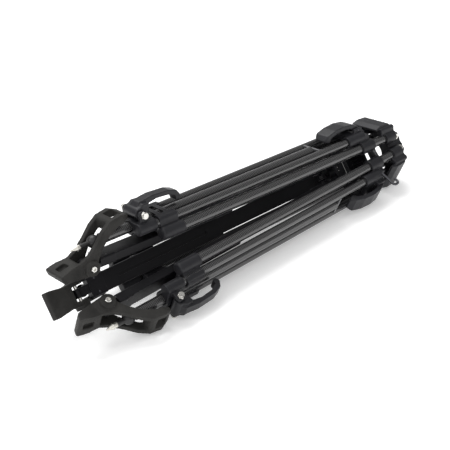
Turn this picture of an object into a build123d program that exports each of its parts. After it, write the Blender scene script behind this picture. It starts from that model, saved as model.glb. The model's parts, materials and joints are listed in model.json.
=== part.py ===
"""Folded twin-tube carbon video tripod with ground spreader, lying on its side.

Everything is drawn upright first. A leg is drawn in its own frame: X outward, Y along the
hinge pin, Z up the leg, origin on the hinge pin. The legs then hang round the spider, and
the whole tripod is laid down, leg A uppermost, with the head end towards +X.
"""
from build123d import *
import math
import os

# ---- driving dimensions, mm ---------------------------------------------------------
HINGE_R = 29.8            # hinge pins from the tripod's axis
SPLAY = 1.8               # degrees each folded leg leans out from the axis
AZIMUTH = {"a": 0.0, "b": 120.0, "c": -120.0}

UPPER_D, UPPER_WALL, UPPER_X, UPPER_Y = 16.0, 1.4, 4.6, 30.2
MIDDLE_D, MIDDLE_WALL, MIDDLE_X, MIDDLE_Y = 13.0, 1.3, 20.7, 21.8
LOWER_D, LOWER_WALL, LOWER_X = 17.0, 1.5, 20.2
RUN = 0.35                # radial clearance of a sliding fit
FIT = 0.02                # radial clearance of a glued joint
COLLAR = 3.2              # wall of a cast collar round a tube

CASTING_TOP, CASTING_END = -9.0, -33.0
CARRIAGE_TOP, CARRIAGE_STEP, CARRIAGE_END = -63.0, -93.0, -117.0
BLOCK_TOP, BLOCK_END = -483.0, -523.0
CLAMP_TOP, CLAMP_END = -526.0, -558.0
GUIDE_TOP, GUIDE_THICK = -176.0, 4.0
MIDDLE_TRAVEL = 270.0
LOWER_TRAVEL = 320.0
SPREAD = 22.0             # degrees the legs open from folded

KNUCKLE_R, KNUCKLE_IN, KNUCKLE_OUT = 8.0, 20.0, 30.0
PIN_D, SCREW_HEAD_R = 6.0, 5.0
SKIN_X = 30.0             # outer face of the carriage and clamp bodies

BALL_Z, BALL_R = -620.0, 10.0
SPIKE_TIP = -660.0
ARM_Z, ARM_X = -640.0, -8.0       # spreader pivot in the shoe
ARM_LENGTH = 500.0
HUB_R = 20.0                      # spreader pivots from the tripod's axis
ARM_OUTER = (31.0, 13.0)          # width along Y, depth along X
ARM_MIDDLE = (26.0, 9.6)
ARM_INNER = (20.0, 6.4)
RAIL_HALF, SHOE_GAP, SOLE_HALF, WAIST_HALF = 20.5, 12.2, 21.5, 18.0
BOSS_FACE, BOSS_R = 24.5, 12.0    # bosses for the spreader bolt

BOWL_R, BOWL_Z = 32.5, 19.0       # half-ball seat and its centre
SPIDER_TOP, SPIDER_END, SPIDER_R = 13.0, -20.0, 37.0
BOLT_HOLE_R = 14.0                # clearance for the head's clamp bolt


def tube(x, y, top, end, diameter, wall):
    """A round tube along the leg."""
    length = top - end
    outer = Cylinder(diameter / 2, length)
    return Pos(x, y, (top + end) / 2) * (outer - Cylinder(diameter / 2 - wall, length + 2))


def rod(x, y, top, end, radius):
    """A solid round bar along the leg."""
    return Pos(x, y, (top + end) / 2) * Cylinder(radius, top - end)


def cross_rod(x, z, y0, y1, radius):
    """A solid round bar along Y, from y0 to y1."""
    return Pos(x, (y0 + y1) / 2, z) * Rot(90, 0, 0) * Cylinder(radius, y1 - y0)


def block(x0, x1, y0, y1, z0, z1):
    """A box between two corners."""
    return Pos((x0 + x1) / 2, (y0 + y1) / 2, (z0 + z1) / 2) * Box(x1 - x0, y1 - y0, z1 - z0)


def mirrored(shape):
    """The shape and its mirror image across the leg's middle plane."""
    return shape + shape.mirror(Plane.XZ)


def side_plate(points, y0, y1, radius=0.0):
    """A plate cut to an outline in the leg's X-Z plane, from y0 to y1."""
    face = make_face(Polyline(*[(x, z) for x, z in points], close=True))
    if radius:
        face = fillet(face.vertices(), radius)
    plate = extrude(Plane.XZ * face, amount=-(y1 - y0))
    return Pos(0, y0, 0) * plate


def rounded(shape, radius, axis=Axis.Z):
    """Edges along one axis rounded off."""
    return fillet(shape.edges().filter_by(axis), radius)


# ---- upper stage ----------------------------------------------------------------------
def top_casting():
    """Two collars on the upper tubes, a hood across them and the hinge knuckles."""
    radius = UPPER_D / 2 + COLLAR
    collar = rod(UPPER_X, UPPER_Y, CASTING_TOP, CASTING_END, radius)
    neck = rod(UPPER_X - 1.6, KNUCKLE_OUT - 5.4, 1, CASTING_TOP - 3, 5.4)
    cheek = block(UPPER_X - 8, UPPER_X + 7, KNUCKLE_IN, KNUCKLE_OUT, CASTING_END + 8, -3)
    knuckle = cross_rod(0, 0, KNUCKLE_IN, KNUCKLE_OUT, KNUCKLE_R)
    post = rounded(block(8, 25, 24, 34, -40, -8), 4)
    hood = side_plate([(12, -6), (20, -7), (28, -15), (29, -36), (25, -48), (21, -47),
                       (24.5, -36), (24, -18), (18, -12.5), (12, -12.5)], -28, 28, 1.2)
    neck -= block(-20, 20, 0, KNUCKLE_IN, CASTING_END, 10)
    body = mirrored(collar + neck + cheek + knuckle + post) + hood
    for y in range(-18, 19, 6):
        body += block(15, 26, y - 1, y + 1, -34, -9)
    body -= mirrored(rod(UPPER_X, UPPER_Y, CASTING_TOP, CASTING_END - 20, UPPER_D / 2 + FIT))
    body -= mirrored(cross_rod(0, 0, KNUCKLE_OUT, KNUCKLE_OUT + 8, SCREW_HEAD_R + 0.6))
    return body - cross_rod(0, 0, -KNUCKLE_OUT, KNUCKLE_OUT, PIN_D / 2 + FIT)


def upper_tubes():
    """The two outer carbon tubes."""
    return mirrored(tube(UPPER_X, UPPER_Y, CASTING_TOP, BLOCK_END + 6, UPPER_D, UPPER_WALL))


def end_block():
    """Lower end of the upper stage: capped collars and a ring round the middle tubes."""
    cap = rod(UPPER_X, UPPER_Y, BLOCK_TOP, BLOCK_END, UPPER_D / 2 + COLLAR - 0.4)
    cap = chamfer(cap.edges().group_by(Axis.Z)[0], 2)
    ring = block(3, SKIN_X, -29, 29, BLOCK_END + 2, BLOCK_TOP - 4)
    ring = rounded(ring, 6)
    body = mirrored(cap) + ring
    body -= mirrored(rod(UPPER_X, UPPER_Y, BLOCK_TOP + 1, BLOCK_END + 5.9, UPPER_D / 2 + FIT))
    body -= mirrored(rod(MIDDLE_X, MIDDLE_Y, BLOCK_TOP, BLOCK_END - 1, MIDDLE_D / 2 + RUN))
    slot = block(LOWER_X - 9.4, LOWER_X + 9.4, -15.2, 15.2, BLOCK_END - 1, BLOCK_TOP)
    window = block(13.5, SKIN_X - 2.6, -MIDDLE_Y, MIDDLE_Y, BLOCK_END - 1, BLOCK_TOP)
    return body - slot - window


def hinge_screws():
    """Two screws a leg, through the casting's knuckles into the spider's barrel."""
    shank = cross_rod(0, 0, 8, KNUCKLE_OUT, PIN_D / 2)
    head = cross_rod(0, 0, KNUCKLE_OUT, KNUCKLE_OUT + 3, SCREW_HEAD_R)
    socket = Pos(0, KNUCKLE_OUT + 2.3, 0) * Rot(90, 0, 0) * extrude(RegularPolygon(2.4, 6), 2.2, both=True)
    return mirrored(shank + chamfer(head.edges(), 0.6) - socket)


# ---- middle stage ---------------------------------------------------------------------
def carriage():
    """Runs on the upper tubes and carries the middle tubes and the long lever."""
    outer = rod(UPPER_X, UPPER_Y, CARRIAGE_TOP, CARRIAGE_STEP, UPPER_D / 2 + COLLAR)
    inner = rod(MIDDLE_X, MIDDLE_Y, CARRIAGE_TOP - 14, CARRIAGE_END, MIDDLE_D / 2 + COLLAR)
    cheek = block(UPPER_X, MIDDLE_X + 4, 15, 30, CARRIAGE_STEP + 3, CARRIAGE_TOP - 5)
    body = mirrored(outer + inner + cheek)
    back = rounded(block(1, 6, -22, 22, CARRIAGE_STEP, CARRIAGE_TOP - 2), 2)
    front = rounded(block(22, SKIN_X, -20, 20, CARRIAGE_END + 6, CARRIAGE_TOP - 6), 3)
    body += back + front
    for y in (-12, -4, 4, 12):
        body += block(5, 24, y - 1.2, y + 1.2, CARRIAGE_STEP + 2, CARRIAGE_TOP - 8)
    ears = block(SKIN_X - 2, SKIN_X + 7, 14.4, 19, CARRIAGE_TOP - 30, CARRIAGE_TOP - 10)
    body += mirrored(rounded(ears, 3, Axis.Y))
    body -= mirrored(rod(UPPER_X, UPPER_Y, CARRIAGE_TOP + 1, CARRIAGE_STEP - 1, UPPER_D / 2 + RUN))
    body -= mirrored(rod(MIDDLE_X, MIDDLE_Y, CARRIAGE_TOP - 18, CARRIAGE_END - 1, MIDDLE_D / 2 + FIT))
    body -= cross_rod(UPPER_LEVER_X, UPPER_LEVER_Z, -LEVER_HALF - RUN, LEVER_HALF + RUN, 9)
    body -= cross_rod(UPPER_LEVER_X, UPPER_LEVER_Z, -30, 30, 2 + FIT)
    hook_seat = Pos(HOOK_X + 20, HOOK_Y, HOOK_Z) * Rot(0, 90, 0) * Cylinder(HOOK_R + FIT, 40.1)
    return body - hook_seat


LEVER_HALF = 14.0
UPPER_LEVER_X, UPPER_LEVER_Z = SKIN_X + 3.0, CARRIAGE_TOP - 20.0


def upper_lever():
    """Long arched handle with a thick free end that locks the carriage."""
    x, z = SKIN_X, UPPER_LEVER_Z
    arch = side_plate([(x + 1, z + 5), (x + 5, z + 7), (x + 10, z + 3), (x + 15, z - 9),
                       (x + 17.5, z - 28), (x + 16, z - 50), (x + 11, z - 68), (x + 3, z - 76),
                       (x - 1, z - 72), (x - 1, z - 64), (x + 5, z - 60), (x + 9, z - 46),
                       (x + 10, z - 28), (x + 8, z - 13), (x + 1, z - 7)],
                      -LEVER_HALF, LEVER_HALF, 1.8)
    tip = rounded(Pos(x, 0, z - 16) * Box(60, 2 * LEVER_HALF, 122), LEVER_HALF - 2, Axis.X)
    return (arch & tip) - cross_rod(UPPER_LEVER_X, z, -20, 20, 2 + RUN)


def lever_pin(x, z):
    """Steel cross pin of a lever."""
    return cross_rod(x, z, -19, 19, 2)


def middle_tubes():
    """The two inner carbon tubes."""
    return mirrored(tube(MIDDLE_X, MIDDLE_Y, CARRIAGE_TOP - 18, CLAMP_END + 4, MIDDLE_D, MIDDLE_WALL))


def lower_clamp():
    """Block on the lower ends of the middle tubes that clamps the single tube."""
    sleeve = rod(MIDDLE_X, MIDDLE_Y, CLAMP_TOP, CLAMP_END, MIDDLE_D / 2 + 3)
    heart = rod(LOWER_X, 0, CLAMP_TOP, CLAMP_END, LOWER_D / 2 + 4.5)
    bar = rounded(block(13, SKIN_X, -MIDDLE_Y, MIDDLE_Y, CLAMP_END, CLAMP_TOP), 4)
    ears = block(SKIN_X - 3, LOWER_LEVER_X + 5.5, 16.5, 22, LOWER_LEVER_Z - 7, LOWER_LEVER_Z + 7)
    body = mirrored(sleeve + rounded(ears, 4, Axis.Y)) + heart + bar
    body -= mirrored(rod(MIDDLE_X, MIDDLE_Y, CLAMP_TOP + 1, CLAMP_END + 3.9, MIDDLE_D / 2 + FIT))
    body -= rod(LOWER_X, 0, CLAMP_TOP + 1, CLAMP_END - 1, LOWER_D / 2 + RUN)
    room = LOWER_HUB + 0.5
    body -= cross_rod(LOWER_LEVER_X, LOWER_LEVER_Z, -room, room, LOWER_BARREL_R + 0.4)
    body -= cross_rod(LOWER_LEVER_X, LOWER_LEVER_Z, -30, 30, 2.5 + FIT)
    return body


LOWER_LEVER_X, LOWER_LEVER_Z = SKIN_X + 10.6, CLAMP_END + 14.0
LOWER_HUB, LOWER_BARREL_R = 15.6, 9.2     # half width and radius of the handle's hub


def lower_lever():
    """Curved handle, open towards the tubes, that locks the single tube."""
    x, z = LOWER_LEVER_X, LOWER_LEVER_Z
    outline = [(x - 5, z + 1), (x, z - 5), (x + 7, z - 4), (x + 15, z + 4), (x + 18, z + 28),
               (x + 16, z + 60), (x + 11, z + 74), (x + 2, z + 80), (x - 5, z + 78),
               (x - 5, z + 71), (x + 3, z + 70), (x + 8.5, z + 58), (x + 10.5, z + 36),
               (x + 8, z + 22), (x + 1, z + 16), (x - 5, z + 14)]
    plate = side_plate(outline, -8.5, 8.5, 2.2)
    cheek = side_plate([(x - 5, z), (x + 9, z), (x + 13, z + 6), (x + 12, z + 17), (x - 2, z + 15),
                        (x - 6, z + 8)], -LOWER_HUB, LOWER_HUB, 1.6)
    barrel = cross_rod(x, z, -LOWER_HUB, LOWER_HUB, LOWER_BARREL_R)
    return plate + cheek + barrel - cross_rod(x, z, -20, 20, 2.5 + RUN)


def clamp_nut():
    """Bright pin and domed nuts through the lower clamp's ears."""
    nut = extrude(RegularPolygon(5.5, 6), 2, both=True)
    nut = Pos(LOWER_LEVER_X, 24, LOWER_LEVER_Z) * Rot(90, 0, 0) * nut
    dome = cross_rod(LOWER_LEVER_X, LOWER_LEVER_Z, 26, 28.5, 4.4)
    return cross_rod(LOWER_LEVER_X, LOWER_LEVER_Z, -24, 24, 2.5) + mirrored(nut + dome)


# ---- lower stage ----------------------------------------------------------------------
def lower_tube():
    """The single carbon tube."""
    return tube(LOWER_X, 0, GUIDE_TOP - GUIDE_THICK, BALL_Z + 16, LOWER_D, LOWER_WALL)


def guide_plate():
    """Thin bar on the single tube's head end that runs between the middle tubes."""
    plate = block(LOWER_X - 6.2, LOWER_X + 6.2, -20, 20, GUIDE_TOP - GUIDE_THICK, GUIDE_TOP)
    plate = rounded(plate, 3)
    plate -= mirrored(rod(MIDDLE_X, MIDDLE_Y, 0, -300, MIDDLE_D / 2 + RUN))
    return plate + rod(LOWER_X, 0, GUIDE_TOP - 2, GUIDE_TOP - 24, LOWER_D / 2 - LOWER_WALL - FIT)


def spike_foot():
    """Plug, ball and steel spike at the foot of the single tube."""
    plug = rod(LOWER_X, 0, BALL_Z + 34, BALL_Z + 16, LOWER_D / 2 - LOWER_WALL - FIT)
    collar = rod(LOWER_X, 0, BALL_Z + 16, BALL_Z + 11, LOWER_D / 2)
    neck = rod(LOWER_X, 0, BALL_Z + 12, BALL_Z, 5.5)
    ball = Pos(LOWER_X, 0, BALL_Z) * Sphere(BALL_R)
    shank = rod(LOWER_X, 0, BALL_Z, SPIKE_TIP + 12, 4)
    tip = Pos(LOWER_X, 0, SPIKE_TIP + 6) * Rot(180, 0, 0) * Cone(4.8, 0.6, 12)
    return plug + collar + neck + ball + shank + tip


# ---- shoe -----------------------------------------------------------------------------
SHOE_OUTLINE = [(-14, -688), (-3, -692), (2, -674), (4, -656), (11, -641), (24, -627),
                (39, -614), (50, -599), (53, -580), (48, -565), (41, -565), (38, -586),
                (29, -603), (14, -618), (-3, -628), (-21, -641), (-20, -660)]
STRAP_X, STRAP_Z, LOOP_Z = 32.0, -602.0, -592.0   # strap over the tube, and the loop above it
SLOT_X, SLOT_TOP, SLOT_END = -3.5, -668.0, -684.0   # blind slot in the sole's outer face


def shoe():
    """Rubber shoe: flared sole, two rails past the ball, a strap and a pull loop."""
    body = side_plate(SHOE_OUTLINE, -SOLE_HALF, SOLE_HALF, 2.5)
    flare = make_face(Polyline((-SOLE_HALF, -700), (SOLE_HALF, -700), (SOLE_HALF, -682),
                               (WAIST_HALF, -660), (RAIL_HALF, -640), (RAIL_HALF, -578),
                               (RAIL_HALF - 9, -562), (9 - RAIL_HALF, -562), (-RAIL_HALF, -578),
                               (-RAIL_HALF, -640), (-WAIST_HALF, -660), (-SOLE_HALF, -682),
                               close=True))
    body &= Pos(-40, 0, 0) * extrude(Plane.YZ * flare, amount=120)
    body += mirrored(cross_rod(ARM_X, ARM_Z, SHOE_GAP, BOSS_FACE, BOSS_R))
    throat = [(-40, -560), (STRAP_X, -560), (STRAP_X, STRAP_Z), (70, STRAP_Z), (70, -664),
              (10, -664), (-3, -650), (-40, -650)]
    body -= side_plate(throat, -SHOE_GAP, SHOE_GAP)
    body -= side_plate([(30, LOOP_Z), (70, LOOP_Z), (70, -574), (30, -574)], -11, 11)
    slot = [(SLOT_X - 3, SLOT_END), (SLOT_X, SLOT_TOP), (20, SLOT_TOP), (20, SLOT_END)]
    body -= side_plate(slot, -6.5, 6.5)
    return body - cross_rod(ARM_X, ARM_Z, -30, 30, 3 + FIT)


def shoe_bolt():
    """Bright bolt through the shoe's bosses that carries the spreader arm."""
    face = BOSS_FACE
    head = cross_rod(ARM_X, ARM_Z, face, face + 2.5, 4.6)
    head = chamfer(head.edges(), 0.8)
    socket = cross_rod(ARM_X, ARM_Z, face + 0.4, face + 3, 2.5)
    return cross_rod(ARM_X, ARM_Z, -face, face, 3) + mirrored(head - socket)


# ---- ground spreader: arms drawn upright on their foot pivot, Z up the arm -------------
def arm_outer():
    """Channel section with an eye block at the shoe."""
    w, d = ARM_OUTER
    eye = cross_rod(0, 0, -7, 7, 7) + block(-6, 6, -7, 7, 0, 24)
    head = rounded(block(-d / 2 - 1, d / 2 + 1, -w / 2 - 1, w / 2 + 1, 18, 44), 3)
    sleeve = rounded(block(-d / 2, d / 2, -w / 2, w / 2, 30, 268), 1.5)
    body = eye + head + sleeve
    iw, idp = ARM_MIDDLE
    body -= block(-idp / 2 - RUN, idp / 2 + RUN, -iw / 2 - RUN, iw / 2 + RUN, 32, 300)
    body -= block(-d, -idp / 2, -2.5, 2.5, 70, 240)
    return body - cross_rod(0, 0, -20, 20, 3 + RUN)


def arm_middle():
    """Sliding box section with a bore for the inner bar."""
    w, d = ARM_MIDDLE
    body = rounded(block(-d / 2, d / 2, -w / 2, w / 2, 34, 462), 1)
    iw, idp = ARM_INNER
    return body - block(-idp / 2 - RUN, idp / 2 + RUN, -iw / 2 - RUN, iw / 2 + RUN, 30, 500)


def arm_inner():
    """Inner bar with the fork end that meets the hub."""
    w, d = ARM_INNER
    bar = block(-d / 2, d / 2, -w / 2, w / 2, 60, ARM_LENGTH - 18)
    root = block(-d / 2, d / 2, -7, 7, ARM_LENGTH - 28, ARM_LENGTH - 12)
    cheek = block(-4.5, 4.5, 4.6, 7, ARM_LENGTH - 20, ARM_LENGTH)
    cheek += cross_rod(0, ARM_LENGTH, 4.6, 7, 4.5)
    return bar + root + mirrored(cheek)


def arm_rest():
    """Lean and foot of a folded arm in the leg plane: (degrees, x, z)."""
    lean = math.radians(SPLAY)
    foot_x = HINGE_R + ARM_X * math.cos(lean) - ARM_Z * math.sin(lean)
    foot_z = ARM_X * math.sin(lean) + ARM_Z * math.cos(lean)
    tilt = math.degrees(math.asin((foot_x - HUB_R) / ARM_LENGTH))
    return tilt, foot_x, foot_z


def hub_height():
    """Height of the hub's pivots in the folded tripod."""
    tilt, _, foot_z = arm_rest()
    return foot_z + ARM_LENGTH * math.cos(math.radians(tilt))


def hub():
    """Three-lugged hub of the spreader."""
    z = hub_height()
    body = Pos(0, 0, z) * Cylinder(10.5, 12)
    body -= Pos(0, 0, z) * Cylinder(3, 20)
    for angle in AZIMUTH.values():
        lug = block(6, HUB_R, -1.6, 1.6, z - 4, z + 4) + cross_rod(HUB_R, z, -1.6, 1.6, 4)
        if angle == 0.0:
            lug = lug + cross_rod(HUB_R, z, -4.2, 4.2, 4)
        body += Rot(0, 0, angle) * lug
    return body


# ---- spider ---------------------------------------------------------------------------
def spider():
    """Shoulder of the tripod: half-ball bowl, three hinge barrels, hollow sides."""
    body = Pos(0, 0, (SPIDER_TOP + SPIDER_END) / 2) * Cylinder(SPIDER_R, SPIDER_TOP - SPIDER_END)
    for angle in AZIMUTH.values():
        window = block(HINGE_R - 9, 60, -40, 40, -40, SPIDER_TOP - 2.6)
        body -= Rot(0, 0, angle) * window
    for angle in AZIMUTH.values():
        barrel = cross_rod(HINGE_R, 0, -KNUCKLE_IN + 0.4, KNUCKLE_IN - 0.4, KNUCKLE_R)
        root = block(12, HINGE_R, -KNUCKLE_IN + 0.4, KNUCKLE_IN - 0.4, -8, 8)
        rim = block(18, HINGE_R + 4, -KNUCKLE_IN + 0.4, KNUCKLE_IN - 0.4, 0, SPIDER_TOP)
        body += Rot(0, 0, angle) * (barrel + root + rim)
    body -= Pos(0, 0, BOWL_Z) * Sphere(BOWL_R)
    body -= Cylinder(BOLT_HOLE_R, 80)
    for angle in AZIMUTH.values():
        body -= Rot(0, 0, angle) * cross_rod(HINGE_R, 0, -KNUCKLE_OUT, KNUCKLE_OUT, PIN_D / 2 + FIT)
        valley = Pos(SPIDER_R + 7, 0, 0) * Cylinder(9, 80)
        body -= Rot(0, 0, angle + 60) * valley
    return body


HOOK_X, HOOK_Y, HOOK_Z, HOOK_R = 14.5, -27.0, CARRIAGE_TOP - 13.0, 2.2


def accessory_hook():
    """J-hook on the carriage of leg B."""
    path = FilletPolyline((HOOK_X, HOOK_Y, HOOK_Z), (56, HOOK_Y, HOOK_Z), (56, HOOK_Y, HOOK_Z + 12),
                          (45, HOOK_Y, HOOK_Z + 12), radius=4.5)
    section = Plane(origin=(HOOK_X, HOOK_Y, HOOK_Z), z_dir=(1, 0, 0)) * Circle(HOOK_R)
    return sweep(section, path=path)


# ---- assembly -------------------------------------------------------------------------
def upright(angle, shape):
    """A leg piece hung from the spider at its azimuth."""
    return Rot(0, 0, angle) * Pos(HINGE_R, 0, 0) * Rot(0, -SPLAY, 0) * shape


def upright_arm(angle, shape):
    """An arm piece leaned from its shoe to the hub."""
    tilt, foot_x, foot_z = arm_rest()
    return Rot(0, 0, angle) * Pos(foot_x, 0, foot_z) * Rot(0, -tilt, 0) * shape


LEG_PIECES = {
    "top_casting": top_casting, "upper_tubes": upper_tubes, "end_block": end_block,
    "carriage": carriage, "upper_lever": upper_lever, "middle_tubes": middle_tubes,
    "lower_clamp": lower_clamp, "lower_lever": lower_lever, "clamp_nut": clamp_nut,
    "lower_tube": lower_tube, "guide_plate": guide_plate, "spike_foot": spike_foot,
    "shoe": shoe, "shoe_bolt": shoe_bolt,
    "upper_lever_pin": lambda: lever_pin(UPPER_LEVER_X, UPPER_LEVER_Z),
}
ARM_PIECES = {"arm_outer": arm_outer, "arm_middle": arm_middle, "arm_inner": arm_inner}


def upright_parts():
    """Every node in the upright, folded tripod."""
    parts = {"spider": spider(), "spreader_hub": hub()}
    drawn = {name: make() for name, make in LEG_PIECES.items()}
    arms = {name: make() for name, make in ARM_PIECES.items()}
    screws = hinge_screws()
    group = []
    for leg, angle in AZIMUTH.items():
        for name, shape in drawn.items():
            parts[f"{name}_{leg}"] = upright(angle, shape)
        for name, shape in arms.items():
            parts[f"{name}_{leg}"] = upright_arm(angle, shape)
        group += upright(angle, screws).solids()
    parts["hinge_screws"] = Compound(group)
    parts["accessory_hook"] = upright(AZIMUTH["b"], accessory_hook())
    return parts


def lying(tilt, x, z):
    """Upright frame to the lying one: Z up becomes +X, leg A's side becomes +Z."""
    down = Location(Plane(origin=(0, 0, 0), x_dir=(0, 0, 1), z_dir=(1, 0, 0)))
    return Pos(x, 0, z) * Rot(0, tilt, 0) * down


def lowest(parts, place, names):
    """Lowest point of some nodes when placed: (x, z)."""
    boxes = [(place * parts[name]).bounding_box() for name in names]
    best = min(boxes, key=lambda b: b.min.Z)
    return best.center().X, best.min.Z


def resting_place(parts):
    """The place in which legs B and C rest on the floor, origin under the middle."""
    place = lying(0, 0, 0)
    head = [f"{n}_{leg}" for leg in "bc" for n in ("top_casting", "carriage", "upper_lever")]
    foot = [f"{n}_{leg}" for leg in "bc" for n in ("shoe", "lower_lever", "end_block")]
    tilt = 0.0
    for _ in range(3):
        hx, hz = lowest(parts, lying(tilt, 0, 0), head)
        fx, fz = lowest(parts, lying(tilt, 0, 0), foot)
        tilt += math.degrees(math.atan2(hz - fz, hx - fx))
    boxes = [(lying(tilt, 0, 0) * shape).bounding_box() for shape in parts.values()]
    low_x = min(b.min.X for b in boxes)
    high_x = max(b.max.X for b in boxes)
    return tilt, -(low_x + high_x) / 2, -min(b.min.Z for b in boxes)


def main():
    """Builds, lays down and writes every node."""
    os.makedirs("parts", exist_ok=True)
    parts = upright_parts()
    tilt, x, z = resting_place(parts)
    place = lying(tilt, x, z)
    print(f"tilt {tilt:.3f} x {x:.3f} z {z:.3f}")
    placed = {}
    for name, shape in parts.items():
        placed[name] = place * shape
        export_step(placed[name], f"parts/{name}.step")
    return placed


if __name__ == "__main__":
    main()
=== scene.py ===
"""Looks for the folded carbon tripod: materials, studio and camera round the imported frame."""
import json
import math

import bmesh
import bpy
from mathutils import Matrix, Vector


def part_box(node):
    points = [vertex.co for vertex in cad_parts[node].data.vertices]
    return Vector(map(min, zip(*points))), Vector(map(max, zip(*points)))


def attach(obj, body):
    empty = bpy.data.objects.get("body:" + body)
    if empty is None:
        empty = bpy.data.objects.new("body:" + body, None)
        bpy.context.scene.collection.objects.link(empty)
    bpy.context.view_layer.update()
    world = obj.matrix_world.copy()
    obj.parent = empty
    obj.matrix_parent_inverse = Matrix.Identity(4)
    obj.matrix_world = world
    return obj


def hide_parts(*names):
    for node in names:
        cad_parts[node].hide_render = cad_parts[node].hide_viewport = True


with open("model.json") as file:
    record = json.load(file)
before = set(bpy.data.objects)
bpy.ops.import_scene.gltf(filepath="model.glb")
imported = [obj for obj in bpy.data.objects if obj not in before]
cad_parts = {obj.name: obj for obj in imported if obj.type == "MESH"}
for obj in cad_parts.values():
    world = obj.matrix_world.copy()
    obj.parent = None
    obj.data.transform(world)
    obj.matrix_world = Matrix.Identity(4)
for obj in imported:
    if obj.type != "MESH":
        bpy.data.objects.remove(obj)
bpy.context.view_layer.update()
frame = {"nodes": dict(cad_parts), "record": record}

NODES = frame["nodes"]
RECORD = frame["record"]
SLOT_OF = {s["node"]: s["material_slot"] for s in RECORD["subparts"]}
BODY_OF = {n: body for body, names in RECORD["behaviour"]["bodies"].items() for n in names}
JOINTS = {j["name"]: j for j in RECORD["behaviour"]["joints"]}
LEGS = "abc"
MM = 0.001

TWILL_PITCH = 5.6 * MM        # carbon weave, from one tow crossing to the next but one
FIBRE_STRETCH = (300.0, 4000.0, 4000.0)    # fibre noise, long along the tube
TURNING_STRETCH = (500.0, 2200.0, 2200.0)  # tool marks on bare and plated metal
EDGE_RADIUS = 1.2 * MM        # width of the painted highlight band along the edges
SPIKE_LENGTH = 15 * MM        # bright steel part of the spike
SHARP_DEGREES = 32.0          # edges sharper than this stay crisp


# ---- node material helpers --------------------------------------------------------------
class Shader:
    """A principled material that grows node by node."""

    def __init__(self, name, roughness=0.5, metallic=0.0, specular=0.5):
        self.material = bpy.data.materials.new(name)
        self.material.use_nodes = True
        self.tree = self.material.node_tree
        self.bsdf = self.tree.nodes["Principled BSDF"]
        self.bsdf.inputs["Roughness"].default_value = roughness
        self.bsdf.inputs["Metallic"].default_value = metallic
        self.bsdf.inputs["Specular IOR Level"].default_value = specular
        self.coords = self.tree.nodes.new("ShaderNodeTexCoord").outputs["Object"]

    def node(self, kind, **values):
        """A node with some inputs set by name."""
        new = self.tree.nodes.new(kind)
        for key, value in values.items():
            new.inputs[key].default_value = value
        return new

    def link(self, source, target):
        """Joins an output to an input."""
        self.tree.links.new(source, target)

    def scaled(self, scale, source=None):
        """Object coordinates multiplied along each axis."""
        mapping = self.node("ShaderNodeMapping", Scale=scale)
        self.link(source or self.coords, mapping.inputs["Vector"])
        return mapping.outputs["Vector"]

    def noise(self, scale, detail=3.0, roughness=0.55, vector=None):
        """Fractal noise from 0 to 1."""
        tex = self.node("ShaderNodeTexNoise", Scale=scale, Detail=detail, Roughness=roughness)
        self.link(vector or self.coords, tex.inputs["Vector"])
        return tex.outputs["Fac"]

    def ramp(self, value, low, high, position=(0.3, 0.7)):
        """Two colours blended by a value."""
        ramp = self.tree.nodes.new("ShaderNodeValToRGB")
        for element, colour, place in zip(ramp.color_ramp.elements, (low, high), position):
            element.color = (*colour, 1.0)
            element.position = place
        self.link(value, ramp.inputs["Fac"])
        return ramp.outputs["Color"]

    def span(self, value, low, high, source=(0.3, 0.7)):
        """A value mapped to a new range."""
        remap = self.tree.nodes.new("ShaderNodeMapRange")
        remap.inputs["From Min"].default_value = source[0]
        remap.inputs["From Max"].default_value = source[1]
        remap.inputs["To Min"].default_value = low
        remap.inputs["To Max"].default_value = high
        self.link(value, remap.inputs["Value"])
        return remap.outputs["Result"]

    def math(self, operation, a, b=None):
        """One arithmetic step."""
        step = self.tree.nodes.new("ShaderNodeMath")
        step.operation = operation
        for place, value in enumerate((a, b)):
            if value is None:
                continue
            if isinstance(value, (int, float)):
                step.inputs[place].default_value = value
            else:
                self.link(value, step.inputs[place])
        return step.outputs["Value"]

    def mix(self, factor, a, b):
        """Two colours mixed by a factor."""
        mix = self.tree.nodes.new("ShaderNodeMix")
        mix.data_type = "RGBA"
        self.link(factor, mix.inputs["Factor"])
        for socket, value in ((mix.inputs[6], a), (mix.inputs[7], b)):
            if isinstance(value, tuple):
                socket.default_value = (*value, 1.0)
            else:
                self.link(value, socket)
        return mix.outputs[2]

    def colour(self, source):
        """Base colour from a socket."""
        self.link(source, self.bsdf.inputs["Base Color"])

    def roughness(self, source):
        """Roughness from a socket."""
        self.link(source, self.bsdf.inputs["Roughness"])

    def bump(self, heights):
        """Bump from (height, strength, distance) layers."""
        normal = None
        for height, strength, distance in heights:
            bump = self.node("ShaderNodeBump", Strength=strength, Distance=distance)
            self.link(height, bump.inputs["Height"])
            if normal is not None:
                self.link(normal, bump.inputs["Normal"])
            normal = bump.outputs["Normal"]
        self.link(normal, self.bsdf.inputs["Normal"])

    def edge(self, width=EDGE_RADIUS):
        """0 on flats, up to 1 on convex edges, from a bevelled normal."""
        bevel = self.node("ShaderNodeBevel", Radius=width)
        geometry = self.tree.nodes.new("ShaderNodeNewGeometry")
        dot = self.tree.nodes.new("ShaderNodeVectorMath")
        dot.operation = "DOT_PRODUCT"
        self.link(bevel.outputs["Normal"], dot.inputs[0])
        self.link(geometry.outputs["Normal"], dot.inputs[1])
        return self.span(dot.outputs["Value"], 1.0, 0.0, (0.75, 0.98))


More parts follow.
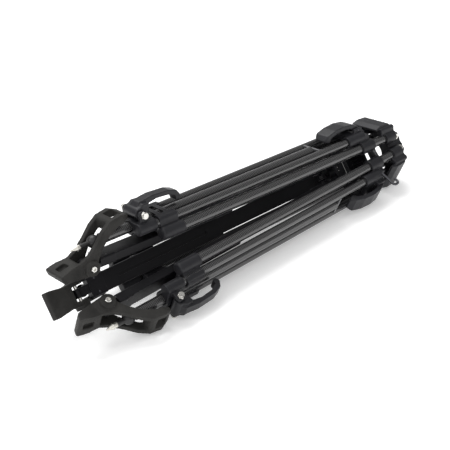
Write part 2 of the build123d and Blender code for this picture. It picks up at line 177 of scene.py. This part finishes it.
# ---- materials ----------------------------------------------------------------------------
def casting_material(name, dark, light, edge_highlight_and_paint_wear, rough=(0.34, 0.5), specular=0.24):
    """Powder-coated or moulded part: fine orange peel, slight clouding, painted highlight along
    the edges.
    """
    s = Shader(name, specular=specular)
    clouds = s.noise(14.0, 4.0)
    base = s.ramp(clouds, dark, light)
    scratches = s.noise(900.0, 2.0)
    # painted highlight: convex edges lightened towards the given edge colour, in noisy patches
    edge = s.math("MULTIPLY", s.edge(), s.span(s.noise(160.0, 5.0), 0.1, 0.75))
    s.colour(s.mix(edge, base, edge_highlight_and_paint_wear))
    s.roughness(s.span(scratches, rough[0], rough[1]))
    s.bump([(s.noise(2600.0, 2.0), 0.10, 0.0004), (s.noise(600.0, 2.0), 0.06, 0.0006)])
    return s.material


def carbon_material():
    """Twill-woven carbon tube under clear lacquer."""
    s = Shader("carbon_twill", specular=0.55)
    s.bsdf.inputs["Coat Weight"].default_value = 0.6
    s.bsdf.inputs["Coat Roughness"].default_value = 0.1
    split = s.tree.nodes.new("ShaderNodeSeparateXYZ")
    s.link(s.coords, split.inputs["Vector"])
    x, y, z = split.outputs
    around = s.math("ADD", y, z)
    turn = math.tau / TWILL_PITCH
    warp = s.math("SINE", s.math("MULTIPLY", s.math("ADD", x, around), turn))
    weft = s.math("SINE", s.math("MULTIPLY", s.math("SUBTRACT", x, around), turn))
    twill = s.math("MULTIPLY", s.math("ADD", s.math("MULTIPLY", warp, weft), 1.0), 0.5)
    fibre = s.noise(1.0, 2.0, vector=s.scaled(FIBRE_STRETCH))
    weave = s.math("ADD", s.math("MULTIPLY", twill, 0.75), s.math("MULTIPLY", fibre, 0.25))
    s.colour(s.ramp(weave, (0.004, 0.004, 0.0045), (0.058, 0.057, 0.058), (0.34, 0.74)))
    s.roughness(s.span(weave, 0.17, 0.3))
    s.bump([(weave, 0.15, 0.0003)])
    return s.material


def rubber_material():
    """Moulded rubber: warm dark grey, dusty, with a fine spark texture and a painted highlight
    along the edges.
    """
    s = Shader("shoe_rubber", specular=0.14)
    dust = s.noise(45.0, 6.0)
    fine = s.noise(700.0, 3.0)
    base = s.ramp(dust, (0.020, 0.0195, 0.0185), (0.034, 0.033, 0.031))
    # painted highlight: convex edges lightened towards a paler grey, in noisy patches
    edge = s.math("MULTIPLY", s.edge(0.0016), s.span(fine, 0.2, 0.8))
    s.colour(s.mix(edge, base, (0.075, 0.073, 0.069)))
    s.roughness(s.span(fine, 0.5, 0.68))
    s.bump([(s.noise(3200.0, 2.0), 0.22, 0.0004), (dust, 0.05, 0.001)])
    return s.material


def metal_material(name, dark, light, rough):
    """Plated or bare metal with fine turning marks."""
    s = Shader(name, metallic=1.0)
    lines = s.noise(1.0, 3.0, vector=s.scaled(TURNING_STRETCH))
    s.colour(s.ramp(lines, dark, light))
    s.roughness(s.span(lines, rough[0], rough[1]))
    s.bump([(lines, 0.05, 0.0002)])
    return s.material


def spike_material():
    """Dark moulded ball with a bright steel spike at its foot end."""
    s = Shader("spike", specular=0.4)
    split = s.tree.nodes.new("ShaderNodeSeparateXYZ")
    s.link(s.coords, split.inputs["Vector"])
    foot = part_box("spike_foot_a")[0][0]
    tip = s.span(split.outputs["X"], 1.0, 0.0, (foot + SPIKE_LENGTH, foot + SPIKE_LENGTH + 2 * MM))
    grain = s.noise(600.0, 3.0)
    rubber = s.ramp(grain, (0.012, 0.012, 0.013), (0.024, 0.023, 0.023))
    steel = s.ramp(grain, (0.55, 0.53, 0.49), (0.78, 0.76, 0.70))
    s.colour(s.mix(tip, rubber, steel))
    s.link(tip, s.bsdf.inputs["Metallic"])
    s.roughness(s.span(grain, 0.28, 0.46))
    s.bump([(grain, 0.06, 0.0003)])
    return s.material


def paint_material():
    """Worn white marking paint."""
    s = Shader("marking_paint", specular=0.3)
    edge_highlight_and_paint_wear = s.noise(900.0, 4.0)
    s.colour(s.ramp(edge_highlight_and_paint_wear, (0.55, 0.55, 0.54), (0.82, 0.82, 0.80)))
    s.roughness(s.span(edge_highlight_and_paint_wear, 0.45, 0.65))
    s.bump([(edge_highlight_and_paint_wear, 0.05, 0.0002)])
    return s.material


# the third colour of each casting material is its painted edge highlight
MATERIALS = {
    "casting": casting_material("satin_casting", (0.010, 0.010, 0.012), (0.019, 0.019, 0.022),
                                (0.085, 0.085, 0.095)),
    "lever": casting_material("moulded_lever", (0.012, 0.012, 0.014), (0.021, 0.021, 0.024),
                              (0.09, 0.09, 0.10), (0.27, 0.42)),
    "arm_black": casting_material("black_anodised", (0.0035, 0.0035, 0.0045),
                                  (0.008, 0.0075, 0.0095), (0.05, 0.05, 0.056), (0.36, 0.5), 0.22),
    "carbon": carbon_material(),
    "shoe_rubber": rubber_material(),
    "bright_steel": metal_material("bright_nickel", (0.50, 0.49, 0.46), (0.80, 0.79, 0.76),
                                   (0.14, 0.3)),
    "dark_steel": metal_material("dark_steel", (0.05, 0.05, 0.055), (0.11, 0.11, 0.12),
                                 (0.28, 0.45)),
    "spike": spike_material(),
    "paint": paint_material(),
    "guide": metal_material("bare_aluminium", (0.20, 0.20, 0.21), (0.34, 0.34, 0.35),
                            (0.34, 0.5)),
}


def shade(obj):
    """Smooth shading with crisp edges."""
    mesh = obj.data
    for polygon in mesh.polygons:
        polygon.use_smooth = True
    mesh.set_sharp_from_angle(angle=math.radians(SHARP_DEGREES))


def dress_nodes():
    """Every CAD node gets the material of its slot."""
    for name, obj in NODES.items():
        obj.data.materials.clear()
        look = "spike" if name.startswith("spike_foot") else SLOT_OF[name]
        obj.data.materials.append(MATERIALS[look])
        shade(obj)


# ---- moulded and cast skins -----------------------------------------------------------------
def copy_mesh(obj, name):
    """A loose copy of a node's mesh as a new object."""
    new = bpy.data.objects.new(name, obj.data.copy())
    bpy.context.scene.collection.objects.link(new)
    return new


def apply_modifiers(obj):
    """Bakes an object's modifiers into its mesh."""
    graph = bpy.context.evaluated_depsgraph_get()
    mesh = bpy.data.meshes.new_from_object(obj.evaluated_get(graph), depsgraph=graph)
    obj.modifiers.clear()
    obj.data = mesh


def soften(node, voxel, rounds, keep):
    """Replaces a sharp CAD shape with one whose edges and inner corners are rounded."""
    source = NODES[node]
    skin = copy_mesh(source, f"{node}_skin")
    remesh = skin.modifiers.new("remesh", "REMESH")
    remesh.mode = "VOXEL"
    remesh.voxel_size = voxel
    smooth = skin.modifiers.new("smooth", "SMOOTH")
    smooth.factor = 0.5
    smooth.iterations = rounds
    thin = skin.modifiers.new("thin", "DECIMATE")
    thin.ratio = keep
    apply_modifiers(skin)
    for polygon in skin.data.polygons:
        polygon.use_smooth = True
    skin.data.materials.clear()
    skin.data.materials.append(MATERIALS[SLOT_OF[node]])
    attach(skin, BODY_OF[node])
    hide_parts(node)
    return skin


SOFT_KINDS = {      # voxel size in metres, smoothing rounds, share of faces kept
    "shoe": (0.0010, 5, 0.35),
    "top_casting": (0.0008, 4, 0.3),
    "carriage": (0.0008, 3, 0.3),
    "end_block": (0.0008, 4, 0.3),
    "lower_clamp": (0.0008, 3, 0.3),
    "upper_lever": (0.0008, 3, 0.3),
    "lower_lever": (0.0008, 4, 0.3),
}


def round_castings():
    """Every cast or moulded node gets its rounded skin."""
    for kind, (voxel, rounds, keep) in SOFT_KINDS.items():
        for leg in LEGS:
            soften(f"{kind}_{leg}", voxel, rounds, keep)
    soften("spider", 0.0008, 4, 0.4)


# ---- small pieces ---------------------------------------------------------------------------
def local_frame(pivot, slide, sense):
    """Axes of a leg or arm: X = Y x Z, Y along its pivot, Z along its slide."""
    across = -Vector(JOINTS[pivot]["axis"])
    up = sense * Vector(JOINTS[slide]["axis"])
    turn = Matrix((across.cross(up), across, up)).transposed().to_4x4()
    return Matrix.Translation(Vector(JOINTS[pivot]["pos_m"])) @ turn


def leg_frame(leg):
    """A leg's axes, with the origin on its hinge pin."""
    return local_frame(f"spread_{leg}", f"middle_slide_{leg}", -1)


def arm_frame(leg):
    """A spreader arm's axes, with the origin on its foot pivot."""
    return local_frame(f"arm_swing_{leg}", f"arm_middle_slide_{leg}", 1)


def add_piece(name, mesh, place, node, look):
    """Puts a small mesh, drawn in a local frame in millimetres, on a node's body."""
    bmesh.ops.scale(mesh, vec=(MM, MM, MM), verts=mesh.verts)
    bmesh.ops.transform(mesh, matrix=place, verts=mesh.verts)
    data = bpy.data.meshes.new(name)
    mesh.to_mesh(data)
    mesh.free()
    obj = bpy.data.objects.new(name, data)
    bpy.context.scene.collection.objects.link(obj)
    data.materials.append(MATERIALS[look])
    shade(obj)
    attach(obj, BODY_OF[node])
    return obj


def bevelled_box(low, high, bevel):
    """A box between two corners with rounded edges, in millimetres."""
    mesh = bmesh.new()
    bmesh.ops.create_cube(mesh, size=1.0)
    size = Vector(high) - Vector(low)
    bmesh.ops.scale(mesh, vec=size, verts=mesh.verts)
    bmesh.ops.translate(mesh, vec=(Vector(high) + Vector(low)) / 2, verts=mesh.verts)
    bmesh.ops.bevel(mesh, geom=mesh.edges[:], offset=bevel, segments=3, profile=0.5,
                    affect="EDGES")
    return mesh


def rivet(x, y, z, radius, height):
    """A domed rivet head that faces along X, in millimetres."""
    mesh = bmesh.new()
    bmesh.ops.create_uvsphere(mesh, u_segments=20, v_segments=12, radius=radius)
    bmesh.ops.scale(mesh, vec=(height / radius, 1, 1), verts=mesh.verts)
    bmesh.ops.translate(mesh, vec=(x, y, z), verts=mesh.verts)
    return mesh


PANEL_Z = (-92, -72)          # along the leg, in millimetres below the hinge pin
LINE_Z, RIB_TOP, RIVET_Z = -74.6, -67, -88
RIBS, RIB_STEP = 6, 5


def carriage_panels():
    """Ribbed panel with a white index line and two rivets inside each carriage."""
    for leg in LEGS:
        place, node = leg_frame(leg), f"carriage_{leg}"
        panel = bevelled_box((0.2, -17, PANEL_Z[0]), (1.4, 17, PANEL_Z[1]), 0.4)
        add_piece(f"panel_{leg}", panel, place, node, "lever")
        line = bevelled_box((0.0, -15, LINE_Z), (1.0, 15, LINE_Z + 1), 0.15)
        add_piece(f"index_line_{leg}", line, place, node, "paint")
        for i in range(RIBS):
            y = RIB_STEP * (i - (RIBS - 1) / 2)
            rib = bevelled_box((0.3, y - 0.8, PANEL_Z[1] - 0.4), (1.6, y + 0.8, RIB_TOP), 0.3)
            add_piece(f"panel_rib_{leg}_{i}", rib, place, node, "casting")
        for side in (-3, 3):
            head = rivet(0.3, side, RIVET_Z, 1.2, 0.5)
            add_piece(f"panel_rivet_{leg}_{side + 3}", head, place, node, "bright_steel")


ARM_FACE, ARM_RIVET_Y, ARM_RIVET_Z = 7.5, 11, 31     # foot block of an arm, in millimetres


def arm_rivets():
    """Rivets through both faces of each spreader arm's foot block."""
    corners = [(x, y) for x in (-ARM_FACE, ARM_FACE) for y in (-ARM_RIVET_Y, ARM_RIVET_Y)]
    for leg in LEGS:
        place, node = arm_frame(leg), f"arm_outer_{leg}"
        for i, (x, y) in enumerate(corners):
            head = rivet(x, y, ARM_RIVET_Z, 1.9, 0.6)
            add_piece(f"arm_rivet_{leg}_{i}", head, place, node, "dark_steel")


# ---- studio ---------------------------------------------------------------------------------
CAMERA_AT = Vector((-0.9033, -1.1215, 0.7911))
CAMERA_LOOK = Vector((0.5430, 0.7049, -0.4563))
CAMERA_RIGHT = Vector((0.7481, -0.6529, -0.1183))
LENS, SENSOR = 80.0, 36.0
FLOOR_SIZE = 60.0


def camera():
    """Camera at the viewing angle, long lens, slightly rolled."""
    data = bpy.data.cameras.new("camera")
    data.lens = LENS
    data.sensor_width = SENSOR
    data.clip_start = 0.01
    obj = bpy.data.objects.new("camera", data)
    bpy.context.scene.collection.objects.link(obj)
    back = -CAMERA_LOOK.normalized()
    right = CAMERA_RIGHT.normalized()
    up = back.cross(right)
    turn = Matrix((right, up, back)).transposed().to_4x4()
    obj.matrix_world = Matrix.Translation(CAMERA_AT) @ turn
    bpy.context.scene.camera = obj


def soft_sun(name, azimuth, elevation, strength, softness):
    """Wide soft light from one direction, angles in degrees."""
    data = bpy.data.lights.new(name, "SUN")
    data.energy = strength
    data.angle = math.radians(softness)
    obj = bpy.data.objects.new(name, data)
    bpy.context.scene.collection.objects.link(obj)
    a, e = math.radians(azimuth), math.radians(elevation)
    toward = Vector((math.cos(a) * math.cos(e), math.sin(a) * math.cos(e), math.sin(e)))
    obj.rotation_euler = toward.to_track_quat("Z", "Y").to_euler()


def studio():
    """Pale floor, white surroundings and three soft suns."""
    bpy.ops.mesh.primitive_plane_add(size=FLOOR_SIZE)
    floor = bpy.context.object
    floor.name = "floor"
    s = Shader("floor_paper", roughness=0.9, specular=0.1)
    s.colour(s.ramp(s.noise(3.0), (0.90, 0.90, 0.90), (0.93, 0.93, 0.93)))
    s.bsdf.inputs["Emission Color"].default_value = (1, 1, 1, 1)
    s.bsdf.inputs["Emission Strength"].default_value = 0.3
    floor.data.materials.append(s.material)
    world = bpy.data.worlds.new("studio")
    world.use_nodes = True
    world.node_tree.nodes["Background"].inputs["Color"].default_value = (1, 1, 1, 1)
    world.node_tree.nodes["Background"].inputs["Strength"].default_value = 0.42
    bpy.context.scene.world = world
    soft_sun("key", 75, 62, 2.0, 45)
    soft_sun("fill", -120, 50, 1.0, 80)
    soft_sun("left", 165, 40, 0.7, 30)
    bpy.context.scene.view_settings.view_transform = "Standard"


dress_nodes()
round_castings()
carriage_panels()
arm_rivets()
camera()
studio()
